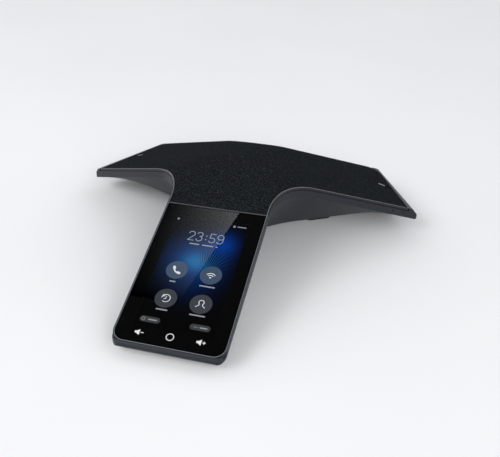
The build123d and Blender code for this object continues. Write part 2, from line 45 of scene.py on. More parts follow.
# ---- The phone's own dimensions, in metres, as in the CAD model ----------------------
MM = 0.001
TILT = math.radians(18.7)
APEX_Z = 75.8 * MM
RIDGE_R = 110.7 * MM
FRONT_REACH = 194.7 * MM
ARM_HALF_W = 43.3 * MM
WING_FRONT_HALF = 46.1 * MM
WING_REAR_HALF = 48.0 * MM
WING_REACH = 157.8 * MM
WING_CUT_ANGLE = 22.4
FRONT_CORNER_R = 9.5 * MM
NOTCH_R = 54.3 * MM
WING_TIP_R = 3.0 * MM
WING_REAR_R = 12.0 * MM
REAR_NOTCH_R = 37.0 * MM
SQUARE_R = 0.3 * MM      # smallest radius of a corner that reads as square
PLAN_STEP = 1.6 * MM     # spacing of points along plan outlines
TRIM_W = 1.1 * MM
BEAD_SINK = 0.35 * MM
BEAD_SINK_START = 6.0 * MM   # the bead starts to sink this far before the wing end
BEAD_SINK_RUN = 3.0 * MM
BEAD_INSETS = (0.62, 0.68, 0.82, 0.96, 1.02)      # section of the bead, millimetres
BEAD_LIFTS = (-0.12, 0.04, 0.10, 0.04, -0.12)
SEAM_S = 64.5 * MM
SEAM_W = 1.0 * MM
GAP = 0.1 * MM
SKIN_TOP, SKIN_BOTTOM = 0.3 * MM, 1.2 * MM
GLASS_HALF_W = 42.0 * MM
GLASS_END = 193.2 * MM
GLASS_CORNER_R = 8.0 * MM
MUTE_KEY_XY = (128.4 * MM, 76.0 * MM)
MUTE_KEY_L, MUTE_KEY_W = 12.5 * MM, 4.4 * MM

# The hub axis, behind the front end of the trim.
HUB_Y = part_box("top_trim")[0].y + FRONT_REACH
ARMS = (-90.0, 30.0, 150.0)
SIN_T, COS_T, TAN_T = math.sin(TILT), math.cos(TILT), math.tan(TILT)


# ---- Shape helpers -------------------------------------------------------------------
def along(angle, distance):
    a = math.radians(angle)
    return (distance * math.cos(a), distance * math.sin(a))


def roof_z(x, y, drop=0.0):
    """Height of the rounded three-sided roof, moved inwards by drop, above a plan point
    measured from the hub axis."""
    heads = [along(arm, 1.0) for arm in ARMS]
    radius = RIDGE_R - drop
    apex = APEX_Z - drop / COS_T
    shift = radius * SIN_T
    for hx, hy in heads:
        foot = (x - shift * hx, y - shift * hy)
        reach = [foot[0] * kx + foot[1] * ky for kx, ky in heads]
        if foot[0] * hx + foot[1] * hy >= max(reach) - 1e-12:
            return apex - TAN_T * (x * hx + y * hy)
    best = -1.0
    slope = -0.5 * TAN_T
    for hx, hy in heads:
        a = -(x * hx + y * hy)
        span = max(radius ** 2 - (x * x + y * y - a * a), 1e-9)
        u = -slope * math.sqrt(span / (1 + slope * slope))
        t = max(a - u, 0.0)
        u = a - t
        rise = math.sqrt(max(span - u * u, 0.0))
        best = max(best, apex - radius / COS_T + t * slope + rise)
    return best


def crossing(side_a, side_b):
    (a, p), (b, q) = side_a, side_b
    a, b = math.radians(a), math.radians(b)
    det = math.sin(b - a)
    return Vector(((p * math.sin(b) - q * math.sin(a)) / det,
                   (q * math.cos(a) - p * math.cos(b)) / det))


def rounded_loop(corners, radii, step):
    """Points round a closed polygon whose corners are rounded, about step apart."""
    loop = []
    count = len(corners)
    for i in range(count):
        here, before, after = corners[i], corners[i - 1], corners[(i + 1) % count]
        d_in, d_out = (here - before).normalized(), (after - here).normalized()
        bend = math.atan2(d_in.x * d_out.y - d_in.y * d_out.x, d_in.dot(d_out))
        tangent = radii[i] * math.tan(abs(bend) / 2)
        start = here - d_in * tangent
        left = Vector((-d_in.y, d_in.x)) * (1 if bend > 0 else -1)
        centre = start + left * radii[i]
        pieces = max(2, int(abs(bend) * radii[i] / step) + 2)
        for k in range(pieces + 1):
            spin = Matrix.Rotation(bend * k / pieces, 2)
            loop.append(centre + spin @ (start - centre))
    full = []
    for i, point in enumerate(loop):
        nxt = loop[(i + 1) % len(loop)]
        length = (nxt - point).length
        parts = max(1, int(length / step))
        for k in range(parts):
            full.append(point.lerp(nxt, k / parts))
    return full


def plan_loop(front_s, inset, half_radii, step):
    """Plan loop whose sides stand inset from the trim's, with the front end at front_s.
    half_radii holds the corner radii of the right half, from the front end to the rear notch."""
    right = [(0.0, ARM_HALF_W - inset), (-60.0, WING_FRONT_HALF - inset),
             (WING_CUT_ANGLE, WING_REACH - inset), (120.0, WING_REAR_HALF - inset)]
    left = [(180.0 - a, d) for a, d in reversed(right)]
    sides = [(-90.0, front_s)] + right + left
    count = len(sides)
    corners = [crossing(sides[i], sides[(i + 1) % count]) for i in range(count)]
    return rounded_loop(corners, half_radii + half_radii[3::-1], step)


def wing_outline(front_s, inset, step):
    """Plan loop of the hub and both wings, cut off square at front_s on the front arm."""
    radii = [SQUARE_R, NOTCH_R + inset, max(WING_TIP_R - inset, SQUARE_R),
             max(WING_REAR_R - inset, SQUARE_R), REAR_NOTCH_R + inset]
    return plan_loop(front_s, inset, radii, step)


def outline_loop(inset, step):
    """Plan loop of the whole trim, at an inset. Every inset gives as many points."""
    radii = [FRONT_CORNER_R, NOTCH_R, WING_TIP_R, WING_REAR_R, REAR_NOTCH_R]
    loop = plan_loop(FRONT_REACH, 0.0, radii, step)
    count = len(loop)
    moved = []
    for i in range(count):
        ahead = (loop[(i + 1) % count] - loop[i - 1]).normalized()
        moved.append(loop[i] + Vector((-ahead.y, ahead.x)) * inset)
    return moved


def new_piece(name, verts, faces, material, smooth=False):
    """A mesh object in the row frame that rides on the phone."""
    mesh = bpy.data.meshes.new(name)
    mesh.from_pydata(verts, [], faces)
    mesh.validate()
    mesh.polygons.foreach_set("use_smooth", [smooth] * len(mesh.polygons))
    mesh.materials.append(material)
    piece = bpy.data.objects.new(name, mesh)
    bpy.context.scene.collection.objects.link(piece)
    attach(piece, BODY)
    return piece


def glass_point(x, s, depth):
    """Point on the display plane: across, along the arm from the seam, below the roof."""
    plan = SEAM_S + s * COS_T
    top = APEX_Z - TAN_T * plan
    return Vector((x, HUB_Y - plan + SIN_T * depth, top - COS_T * depth))


class Slab:
    """Collects flat shapes on the display plane and makes one piece of thin slabs."""

    def __init__(self, top, bottom):
        self.top, self.bottom = top, bottom
        self.verts, self.faces = [], []

    def polygon(self, points):
        """Adds one convex or simple outline, in millimetres across and along the display."""
        n = len(points)
        base = len(self.verts)
        for depth in (self.top, self.bottom):
            self.verts += [glass_point(x * MM, s * MM, depth) for x, s in points]
        self.faces.append(tuple(base + i for i in reversed(range(n))))
        self.faces.append(tuple(base + n + i for i in range(n)))
        for i in range(n):
            j = (i + 1) % n
            self.faces.append((base + i, base + j, base + n + j, base + n + i))

    def disc(self, x, s, r, sides=48):
        self.polygon([(x + r * math.cos(a), s + r * math.sin(a))
                      for a in (math.tau * i / sides for i in range(sides))])

    def stroke(self, points, width, closed=False):
        """A ribbon along the points, with round joints."""
        pts = [Vector(p) for p in points]
        loop = pts + [pts[0]] if closed else pts
        for a, b in zip(loop, loop[1:]):
            side = (b - a).normalized() * (width / 2)
            angle = math.atan2(side.y, side.x)
            caps = [(b, angle - math.pi / 2), (a, angle + math.pi / 2)]
            outline = []
            for centre, start in caps:
                outline += [(centre.x + width / 2 * math.cos(start + math.pi * k / 6),
                             centre.y + width / 2 * math.sin(start + math.pi * k / 6))
                            for k in range(7)]
            self.polygon(outline)

    def pill(self, x, s, length, height):
        r = height / 2
        half = length / 2 - r
        points = [(x + half + r * math.cos(a), s + r * math.sin(a))
                  for a in (math.pi * (k / 12 - 0.5) for k in range(13))]
        points += [(x - half - r * math.cos(a), s - r * math.sin(a))
                   for a in (math.pi * (k / 12 - 0.5) for k in range(13))]
        self.polygon(points)

    def build(self, name, material):
        new_piece(name, self.verts, self.faces, material)


def arc(x, s, r, start, end, steps=14):
    """Points on an arc. Angles in degrees, 90 towards the seam, as on a clock face."""
    return [(x + r * math.cos(math.radians(a)), s - r * math.sin(math.radians(a)))
            for a in (start + (end - start) * k / steps for k in range(steps + 1))]


# ---- Materials -----------------------------------------------------------------------
class Graph:
    """Short form for building a node material."""

    def __init__(self, name):
        self.material = bpy.data.materials.new(name)
        self.material.use_nodes = True
        self.tree = self.material.node_tree
        self.shader = self.tree.nodes["Principled BSDF"]
        self.coords = self.tree.nodes.new("ShaderNodeTexCoord").outputs["Object"]

    def node(self, kind, inputs=None, **settings):
        made = self.tree.nodes.new(kind)
        for key, value in settings.items():
            setattr(made, key, value)
        for key, value in (inputs or {}).items():
            socket = made.inputs[key]
            if isinstance(value, bpy.types.NodeSocket):
                self.tree.links.new(value, socket)
            else:
                socket.default_value = value
        return made

    def math(self, operation, a, b=0.0, clamp=False):
        made = self.node("ShaderNodeMath", {0: a, 1: b}, operation=operation, use_clamp=clamp)
        return made.outputs[0]

    def scaled(self, value, factor, offset):
        made = self.node("ShaderNodeMath", {0: value, 1: factor, 2: offset},
                         operation="MULTIPLY_ADD")
        return made.outputs[0]

    def noise(self, scale, detail=3.0, rough=0.5, vector=None):
        made = self.node("ShaderNodeTexNoise", {"Vector": vector or self.coords, "Scale": scale,
                                                "Detail": detail, "Roughness": rough})
        return made.outputs["Fac"]

    def ramp(self, factor, stops):
        made = self.node("ShaderNodeValToRGB", {"Fac": factor})
        ramp = made.color_ramp
        while len(ramp.elements) < len(stops):
            ramp.elements.new(0.5)
        for element, (place, colour) in zip(ramp.elements, stops):
            element.position = place
            element.color = (*colour, 1.0)
        return made.outputs["Color"]

    def bump(self, height, strength, distance):
        made = self.node("ShaderNodeBump", {"Height": height, "Strength": strength,
                                            "Distance": distance})
        self.link(made.outputs["Normal"], "Normal")

    def link(self, output, socket):
        self.tree.links.new(output, self.shader.inputs[socket])

    def set(self, **values):
        for key, value in values.items():
            self.shader.inputs[key.replace("_", " ")].default_value = value


def grey(level, tint=(1.0, 1.0, 1.0)):
    return tuple(level * t for t in tint)


def moulded(name, colour, spread, roughness, grain=2600.0, depth=0.00003, coat=0.0,
            specular=0.5):
    """Moulded plastic: spark-eroded grain, slow tone drift and uneven gloss."""
    g = Graph(name)
    drift = g.noise(18.0, 2.0)
    g.link(g.ramp(drift, [(0.3, tuple(c * (1 - spread) for c in colour)),
                          (0.7, tuple(c * (1 + spread) for c in colour))]), "Base Color")
    fine = g.noise(grain, 2.0, 0.6)
    g.link(g.scaled(fine, 0.12, roughness - 0.06), "Roughness")
    g.bump(fine, 0.5, depth)
    g.set(Coat_Weight=coat, Coat_Roughness=0.25, Specular_IOR_Level=specular)
    return g.material


YARN_PITCH = 0.85 * MM


def fabric_material():
    """Tight acoustic cloth: crossing yarns and melange flecks, without a sheen."""
    g = Graph("acoustic_cloth")
    split = g.node("ShaderNodeSeparateXYZ", {0: g.coords})
    pitch = math.tau / YARN_PITCH
    wobble = g.math("MULTIPLY", g.noise(900.0, 2.0), 3.0)
    warp = g.math("SINE", g.math("ADD", g.math("MULTIPLY", split.outputs[0], pitch), wobble))
    weft = g.math("SINE", g.math("ADD", g.math("MULTIPLY", split.outputs[1], pitch), wobble))
    weave = g.scaled(g.math("MULTIPLY", warp, weft), 0.5, 0.5)
    flecks = g.noise(1050.0, 2.0, 0.8)
    clouds = g.noise(1500.0, 2.0, 0.6)
    mixed = g.math("ADD", g.math("MULTIPLY", flecks, 0.70), g.math("MULTIPLY", weave, 0.08))
    mixed = g.math("ADD", mixed, g.math("MULTIPLY", clouds, 0.22))
    tint = (0.80, 0.97, 1.05)
    g.link(g.ramp(mixed, [(0.38, grey(0.0030, tint)), (0.50, grey(0.010, tint)),
                          (0.57, grey(0.025, tint)), (0.68, grey(0.065, tint))]), "Base Color")
    g.bump(mixed, 0.5, 0.0003)
    g.set(Roughness=1.0, Specular_IOR_Level=0.02)
    return g.material


def wallpaper_material():
    """Lit display image: blue glow, fan of curved rays, dark towards the edges."""
    g = Graph("display_image")
    uv = g.tree.nodes.new("ShaderNodeTexCoord").outputs["UV"]
    split = g.node("ShaderNodeSeparateXYZ", {0: uv})
    u, v = split.outputs[0], split.outputs[1]

    def blob(cu, cv, ru, rv, power=1.0):
        du = g.math("DIVIDE", g.math("SUBTRACT", u, cu), ru)
        dv = g.math("DIVIDE", g.math("SUBTRACT", v, cv), rv)
        r2 = g.math("ADD", g.math("MULTIPLY", du, du), g.math("MULTIPLY", dv, dv))
        return g.math("MULTIPLY", g.math("EXPONENT", g.math("MULTIPLY", r2, -1.0)), power)

    # Curved rays fan out to the upper right of the glow.
    du, dv = g.math("SUBTRACT", u, 0.64), g.math("SUBTRACT", v, 0.47)
    radius = g.math("SQRT", g.math("ADD", g.math("MULTIPLY", du, du), g.math("MULTIPLY", dv, dv)))
    angle = g.math("ARCTAN2", dv, du)
    swirl = g.math("ADD", g.math("MULTIPLY", angle, 44.0), g.math("MULTIPLY", radius, 34.0))
    rays = g.math("POWER", g.scaled(g.math("SINE", swirl), 0.5, 0.5), 1.6)
    fan = blob(0.66, 0.63, 0.16, 0.085)
    gaps = g.math("MULTIPLY", fan, g.math("SUBTRACT", 1.0, rays))
    shade = g.math("SUBTRACT", 1.0, gaps, clamp=True)
    deep = g.math("ADD", blob(0.76, 0.775, 0.15, 0.10, 0.8), blob(0.62, 0.62, 0.25, 0.20, 0.22))
    core = blob(0.50, 0.60, 0.17, 0.075, 0.36)
    wide = blob(0.40, 0.62, 0.30, 0.17, 0.42)
    low = blob(0.50, 0.44, 0.30, 0.16, 0.30)

    def tinted(factor, colour):
        made = g.node("ShaderNodeVectorMath", {0: colour}, operation="SCALE")
        g.tree.links.new(factor, made.inputs["Scale"])
        return made.outputs[0]

    total = tinted(deep, (0.0, 0.036, 0.26))
    for factor, colour in ((wide, (0.004, 0.070, 0.34)), (core, (0.02, 0.34, 0.62)),
                           (low, (0.0, 0.020, 0.10)),
                           (g.math("MULTIPLY", fan, rays), (0.006, 0.035, 0.10))):
        total = g.node("ShaderNodeVectorMath", {0: total, 1: tinted(factor, colour)},
                       operation="ADD").outputs[0]
    made = g.node("ShaderNodeVectorMath", {0: total}, operation="SCALE")
    g.tree.links.new(shade, made.inputs["Scale"])
    g.link(made.outputs[0], "Emission Color")
    g.set(Base_Color=(0.0, 0.0, 0.0, 1.0), Emission_Strength=1.0, Roughness=0.6,
          Specular_IOR_Level=0.0)
    return g.material


def lit(name, colour, strength):
    """Backlit mark: even light with a faint grain from the diffuser."""
    g = Graph(name)
    grain = g.noise(3000.0, 1.0)
    g.link(g.ramp(grain, [(0.2, tuple(c * 0.94 for c in colour)), (0.8, colour)]), "Emission Color")
    g.set(Base_Color=(0.0, 0.0, 0.0, 1.0), Emission_Strength=strength, Roughness=0.5,
          Specular_IOR_Level=0.0)
    return g.material


def glass_material():
    g = Graph("cover_glass")
    smear = g.noise(35.0, 4.0, 0.6)
    g.link(g.math("MULTIPLY", smear, 0.008), "Roughness")
    g.set(Base_Color=(1.0, 1.0, 1.0, 1.0), Transmission_Weight=1.0, IOR=1.5)
    return g.material


def metal(name, colour, roughness, streak=(4.0, 900.0, 4.0)):
    """Stamped or turned metal with fine streaks."""
    g = Graph(name)
    mapping = g.node("ShaderNodeMapping", {"Vector": g.coords, "Scale": streak})
    lines = g.noise(60.0, 4.0, 0.6, mapping.outputs[0])
    g.link(g.ramp(lines, [(0.3, tuple(c * 0.85 for c in colour)), (0.7, colour)]), "Base Color")
    g.link(g.scaled(lines, 0.2, roughness - 0.1), "Roughness")
    g.bump(lines, 0.15, 0.00002)
    g.set(Metallic=1.0)
    return g.material


SLATE = (0.019, 0.0235, 0.030)
case_plastic = moulded("case_plastic", SLATE, 0.05, 0.42, specular=0.28)
trim_finish = moulded("trim_finish", (0.019, 0.0225, 0.028), 0.04, 0.36, 1500.0, 0.00001,
                      specular=0.28)
# Light grey bead colour: a painted highlight standing for the shine on the slate trim's rounded
# edge.
bead_painted_highlight = moulded("bead_painted_highlight", (0.24, 0.255, 0.28), 0.04, 0.25, 1500.0, 0.00001, 0.3)
seam_finish = moulded("seam_finish", (0.060, 0.064, 0.068), 0.04, 0.3, 1500.0, 0.00001)
black_plastic = moulded("black_plastic", (0.012, 0.012, 0.013), 0.08, 0.5)
key_plastic = moulded("key_plastic", (0.008, 0.0095, 0.0105), 0.1, 0.8, 1800.0, 0.00001,
                      specular=0.0)
light_bar = moulded("light_bar", (0.42, 0.44, 0.46), 0.03, 0.35, 1200.0, 0.00001)
rubber = moulded("foot_rubber", (0.018, 0.018, 0.019), 0.12, 0.82, 1100.0, 0.00008)
socket_black = moulded("socket_black", (0.009, 0.009, 0.010), 0.1, 0.4, 1500.0, 0.00002)
board_green = moulded("solder_mask", (0.012, 0.085, 0.035), 0.15, 0.35, 700.0, 0.00004)
foam = moulded("foam", (0.02, 0.02, 0.02), 0.2, 0.95, 900.0, 0.0002)
paper_cone = moulded("paper_cone", (0.016, 0.015, 0.014), 0.2, 0.8, 1000.0, 0.0001)
film = moulded("film", (0.36, 0.17, 0.04), 0.1, 0.35, 500.0, 0.00002)
white_plastic = moulded("white_plastic", (0.7, 0.7, 0.7), 0.03, 0.5)
steel = metal("steel", (0.52, 0.53, 0.55), 0.32)
nickel = metal("nickel", (0.66, 0.66, 0.64), 0.25)
brass = metal("brass", (0.72, 0.52, 0.20), 0.3)
copper = metal("copper_wire", (0.75, 0.33, 0.14), 0.35, (4.0, 4.0, 3000.0))
ferrite = moulded("ferrite", (0.03, 0.03, 0.032), 0.15, 0.6, 700.0, 0.0001)
spider_cloth = moulded("spider_cloth", (0.45, 0.33, 0.12), 0.15, 0.85, 1500.0, 0.0001)
glass = glass_material()
cloth = fabric_material()
mask_black = moulded("mask_ink", (0.0008, 0.0008, 0.0009), 0.1, 0.9, 1500.0, 0.00001,
                     specular=0.0)

FINISHES = {
    "bottom_case": case_plastic, "top_trim": trim_finish, "seam_strip": seam_finish,
    "grille_carrier": black_plastic, "cover_glass": glass, "backlight_tray": white_plastic,
    "display_bracket": steel, "touch_key_board": board_green, "display_flex": film,
    "left_mute_key": key_plastic, "right_mute_key": key_plastic, "left_mute_light": light_bar,
    "right_mute_light": light_bar, "left_mute_board": board_green,
    "right_mute_board": board_green, "left_mic_board": board_green,
    "right_mic_board": board_green, "mic_capsules": nickel, "main_board": board_green,
    "processor_shield": nickel, "radio_module": nickel, "board_posts": brass,
    "board_screws": steel, "left_antenna": board_green, "right_antenna": board_green,
    "left_ballast": steel, "right_ballast": steel, "left_wing_flex": film,
    "right_wing_flex": film, "port_board": board_green, "port_panel": black_plastic,
    "network_socket": socket_black, "usb_a_socket": nickel, "usb_c_socket": nickel,
    "lock_plate": steel, "speaker_box": black_plastic, "speaker_gasket": foam,
    "speaker_basket": black_plastic, "speaker_top_plate": steel, "speaker_magnet": ferrite,
    "speaker_yoke": steel, "voice_coil": copper, "speaker_cone": paper_cone,
    "dust_cap": paper_cone, "cone_surround": foam, "spider": spider_cloth,
    "rubber_feet": rubber, "case_screws": steel,
}
for node, finish in FINISHES.items():
    mesh = nodes[node].data
    mesh.materials.clear()
    mesh.materials.append(finish)


def soften(node, width, segments=3, angle=32.0):
    """Rounds a CAD node's sharp edges a little, as moulding does."""
    bevel = nodes[node].modifiers.new("edge_round", "BEVEL")
    bevel.width = width
    bevel.segments = segments
    bevel.limit_method = "ANGLE"
    bevel.angle_limit = math.radians(angle)
    bevel.harden_normals = False


# ---- Fabric over the hub and wings ---------------------------------------------------
EDGE_ROLL = 0.8 * MM
EDGE_RINGS = (0.0, 0.08 * MM, 0.25 * MM, 0.5 * MM, EDGE_ROLL)
HOLE_ROLL = 0.4 * MM         # how far in from its edge the cloth counts as rolled at a hole
MESH_PITCH = 3.2 * MM
MESH_MARGIN = 2.2 * MM       # the even mesh stops this far inside the edge
MESH_HOLE_GAP = 2.0 * MM
MERGE = 1e-7


def edge_fall(inset):
    """How far the cloth has rolled down at a distance from its edge."""
    k = max(0.0, 1.0 - inset / EDGE_ROLL)
    return (SKIN_BOTTOM - SKIN_TOP) * (1.0 - math.sqrt(max(0.0, 1.0 - k * k)))


def slot_loop(x, y, length, width, steps=10):
    r, half = width / 2, (length - width) / 2
    right = [(x + half + r * math.cos(a), y + r * math.sin(a))
             for a in (math.pi * (k / steps - 0.5) for k in range(steps + 1))]
    left = [(x - half - r * math.cos(a), y - r * math.sin(a))
            for a in (math.pi * (k / steps - 0.5) for k in range(steps + 1))]
    return [Vector(p) for p in right + left]


def stretched_cloth():
    """One sheet stretched over the carrier, rolled down at its edge."""
    rear = SEAM_S - SEAM_W / 2 - GAP
    points, edges, insets = [], [], []
    for inset in EDGE_RINGS:
        loop = wing_outline(rear - inset, TRIM_W + GAP + inset, PLAN_STEP)
        base = len(points)
        points += loop
        insets += [inset] * len(loop)
        edges += [(base + i, base + (i + 1) % len(loop)) for i in range(len(loop))]
    holes = []
    for side in (-1, 1):
        loop = slot_loop(side * MUTE_KEY_XY[0], MUTE_KEY_XY[1],
                         MUTE_KEY_L + 2 * GAP, MUTE_KEY_W + 2 * GAP)
        holes.append(loop)
        base = len(points)
        points += loop
        insets += [HOLE_ROLL] * len(loop)
        edges += [(base + i, base + (i + 1) % len(loop)) for i in range(len(loop))]
    inner = wing_outline(rear - MESH_MARGIN, TRIM_W + GAP + MESH_MARGIN, 3.0 * MM)
    for row in range(-25, 50):
        for col in range(-55, 56):
            spot = Vector(((col + 0.5 * (row % 2)) * MESH_PITCH, row * MESH_PITCH * 0.866))
            if inside(spot, inner) and not any(near(spot, h, MESH_HOLE_GAP) for h in holes):
                points.append(spot)
                insets.append(EDGE_ROLL)
    flat = [Vector(p) for p in points]
    verts, _, faces, origin, _, _ = delaunay_2d_cdt(flat, edges, [], 0, MERGE)
    depth_of = [min((insets[i] for i in source), default=EDGE_ROLL) for source in origin]
    outer = wing_outline(rear, TRIM_W + GAP, PLAN_STEP)
    kept = []
    for face in faces:
        mid = sum((verts[i] for i in face), Vector((0.0, 0.0))) / len(face)
        if inside(mid, outer) and not any(inside(mid, h) for h in holes):
            kept.append(tuple(face))
    used = sorted({i for face in kept for i in face})
    index = {old: new for new, old in enumerate(used)}
    solid = [(verts[i].x, verts[i].y + HUB_Y,
              roof_z(verts[i].x, verts[i].y, SKIN_TOP) - edge_fall(depth_of[i])) for i in used]
    piece = new_piece("stretched_cloth", solid, [tuple(index[i] for i in f) for f in kept],
                      cloth, smooth=True)
    area = sum(p.area for p in piece.data.polygons)
    return piece, area


def inside(point, loop):
    """True if a plan point is inside a closed loop."""
    x, y = point
    crossings = False
    for a, b in zip(loop, loop[1:] + loop[:1]):
        if (a[1] > y) != (b[1] > y) and x < (b[0] - a[0]) * (y - a[1]) / (b[1] - a[1]) + a[0]:
            crossings = not crossings
    return crossings


def near(point, loop, gap):
    return any((point - p).length < gap for p in loop) or inside(point, loop)


fabric, fabric_area = stretched_cloth()
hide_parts("fabric_skin")


def bead_sink(p):
    """How far the bead is let into the trim: nothing in the notches, out of sight at the ends."""
    across, along_y = along(WING_CUT_ANGLE, 1.0)
    past = abs(p.x) * across + p.y * along_y
    start = WING_REACH - BEAD_SINK_START
    return BEAD_SINK * min(1.0, max(0.0, (past - start) / BEAD_SINK_RUN))


def painted_highlight_bead():
    """Fine bead on the rim beside the fabric and glass, sunk away at the wing ends; its light grey
    is a painted highlight for the shine on the trim's rounded top edge.
    """
    full = [outline_loop(inset * MM, PLAN_STEP) for inset in BEAD_INSETS]
    count = len(full[0])
    verts = []
    for loop, rise in zip(full, BEAD_LIFTS):
        verts += [(p.x, p.y + HUB_Y, roof_z(p.x, p.y) + rise * MM - bead_sink(p)) for p in loop]
    faces = []
    rows = len(full)
    for row in range(rows):
        nxt = (row + 1) % rows
        for i in range(count):
            j = (i + 1) % count
            faces.append((row * count + i, row * count + j, nxt * count + j, nxt * count + i))
    new_piece("painted_highlight_bead", verts, faces, bead_painted_highlight, smooth=True)


painted_highlight_bead()

# ---- Display under the cover glass ---------------------------------------------------
# Shapes on the display are given in millimetres, across and along it.
ACTIVE_HALF_W, ACTIVE_TOP, ACTIVE_BOTTOM = 31.05, 12.2, 122.6
LAYER = 0.02 * MM
CELL_THICK = 1.2 * MM
MASK_TOP = 0.7
MASK_GAP = 0.1           # ink stops this far inside the glass edge
PRINT_TOP = SKIN_BOTTOM + LAYER
MARK_TOP = PRINT_TOP + LAYER
DISC_TOP = MARK_TOP + LAYER
IMAGE_TOP = DISC_TOP + LAYER


def display_image():
    """The lit cell: a thin slab with the picture on its top face."""
    corners = [(-ACTIVE_HALF_W, ACTIVE_BOTTOM), (ACTIVE_HALF_W, ACTIVE_BOTTOM),
               (ACTIVE_HALF_W, ACTIVE_TOP), (-ACTIVE_HALF_W, ACTIVE_TOP)]
    depths = (IMAGE_TOP, IMAGE_TOP + CELL_THICK)
    verts = [glass_point(x * MM, s * MM, d) for d in depths for x, s in corners]
    faces = [(0, 1, 2, 3), (7, 6, 5, 4), (0, 4, 5, 1), (1, 5, 6, 2), (2, 6, 7, 3), (3, 7, 4, 0)]
    piece = new_piece("display_image", verts, faces, wallpaper_material())
    layer = piece.data.uv_layers.new(name="picture")
    uvs = [(0, 0), (1, 0), (1, 1), (0, 1)]
    for poly in piece.data.polygons:
        for loop in poly.loop_indices:
            layer.data[loop].uv = uvs[piece.data.loops[loop].vertex_index % 4]
    return piece


def glass_mask():
    """Black ink under the glass, with the window for the picture."""
    half = GLASS_HALF_W / MM - MASK_GAP
    bottom = (GLASS_END - SEAM_S) / MM / COS_T - MASK_GAP
    r = GLASS_CORNER_R / MM
    outer = [(-half, MASK_TOP), (half, MASK_TOP)]
    outer += arc(half - r, bottom - r, r, 0, -90, 12)
    outer += arc(-half + r, bottom - r, r, -90, -180, 12)
    inner = [(-ACTIVE_HALF_W, ACTIVE_TOP), (ACTIVE_HALF_W, ACTIVE_TOP),
             (ACTIVE_HALF_W, ACTIVE_BOTTOM), (-ACTIVE_HALF_W, ACTIVE_BOTTOM)]
    flat = [Vector(p) for p in outer + inner]
    n, m = len(outer), len(inner)
    edges = [(i, (i + 1) % n) for i in range(n)] + [(n + i, n + (i + 1) % m) for i in range(m)]
    verts, _, faces, _, _, _ = delaunay_2d_cdt(flat, edges, [], 0, MERGE)
    window = [Vector(p) for p in inner]
    kept = []
    for face in faces:
        mid = sum((verts[i] for i in face), Vector((0.0, 0.0))) / len(face)
        if inside(mid, [Vector(p) for p in outer]) and not inside(mid, window):
            kept.append(tuple(face))
    solid = [glass_point(v.x * MM, v.y * MM, PRINT_TOP) for v in verts]
    piece = new_piece("glass_mask", solid, kept, mask_black)
    thick = piece.modifiers.new("ink", "SOLIDIFY")
    thick.thickness = LAYER / 2
    thick.offset = 0.0


picture = display_image()
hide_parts("lcd_cell")
glass_mask()

mark_white = lit("mark_white", (0.74, 0.80, 0.84), 1.0)
ink_white = lit("ink_white", (0.90, 0.91, 0.92), 1.0)
disc_grey = lit("disc_grey", (0.058, 0.090, 0.145), 1.0)
disc_dim = lit("disc_dim", (0.052, 0.058, 0.070), 1.0)
pill_grey = lit("pill_grey", (0.050, 0.054, 0.058), 1.0)
soft_white = lit("soft_white", (0.32, 0.35, 0.38), 1.0)
digit_white = lit("digit_white", (0.30, 0.37, 0.47), 1.0)

COLUMN = 13.8            # icon columns, either side of the middle
ROWS = (67.4, 94.7)      # icon rows, distance from the seam
DISC_R = 8.6
PILL_H = 5.0
LINE_W = 0.62            # strokes of the clock, the icons and the touch keys
LABEL_H = 1.15


def clock_digits():
    """Generic clock time in thin strokes."""
    face = Slab(MARK_TOP, MARK_TOP + LAYER / 2)
    top, base, w, t = 27.0, 36.0, 4.9, LINE_W
    mid = (top + base) / 2
    r = w / 2

    def two(x):
        face.stroke(arc(x + r, top + r, r, 170, -25, 14) + [(x + 0.2, base), (x + w, base)], t)

    def three(x):
        face.stroke(arc(x + r, top + r * 0.92, r * 0.92, 165, -80, 14), t)
        face.stroke(arc(x + r, base - r, r, 85, -165, 16), t)

    def five(x):
        face.stroke([(x + w - 0.3, top), (x + 0.7, top), (x + 0.3, mid - 0.3)]
                    + arc(x + r, base - r, r, 130, -160, 16), t)

    def nine(x):
        face.stroke(arc(x + r, top + r, r, 0, 360, 22), t)
        face.stroke([(x + w, top + r), (x + w, mid + 1.0)]
                    + arc(x + r, base - r, r, 0, -150, 12), t)

    two(-15.0)
    three(-8.3)
    five(2.4)
    nine(9.0)
    for s in (mid - 1.7, mid + 2.1):
        face.disc(-0.3, s, 0.55, 16)
    face.build("clock_digits", digit_white)


def text_bars():
    """Short rounded bars stand where the display shows words."""
    bars = Slab(MARK_TOP, MARK_TOP + LAYER / 2)
    for x, length in ((-7.9, 8.2), (3.2, 9.4), (10.6, 1.6)):
        bars.pill(x, 39.6, length, 1.1)
    for x, s, length in ((-COLUMN, 78.6, 5.0), (COLUMN, 78.4, 12.4),
                         (-COLUMN, 105.2, 9.2), (COLUMN, 105.0, 12.2)):
        bars.pill(x, s, length, LABEL_H)
    bars.disc(-28.6, 15.8, 0.95, 20)
    bars.disc(19.2, 15.9, 1.05, 20)
    bars.pill(25.4, 15.8, 7.4, 0.9)
    bars.build("text_bars", soft_white)


def icon_discs():
    """Round grounds of the four icons, and the two pill buttons."""
    for name, row, material in (("upper_icon_discs", ROWS[0], disc_grey),
                                ("lower_icon_discs", ROWS[1], disc_dim)):
        discs = Slab(DISC_TOP, DISC_TOP + LAYER / 2)
        for x in (-COLUMN, COLUMN):
            discs.disc(x, row, DISC_R, 64)
        discs.build(name, material)
    pills = Slab(DISC_TOP, DISC_TOP + LAYER / 2)
    pills.pill(-19.4, 115.4, 15.8, PILL_H)
    pills.pill(19.0, 114.8, 15.6, PILL_H)
    pills.build("pill_buttons", pill_grey)


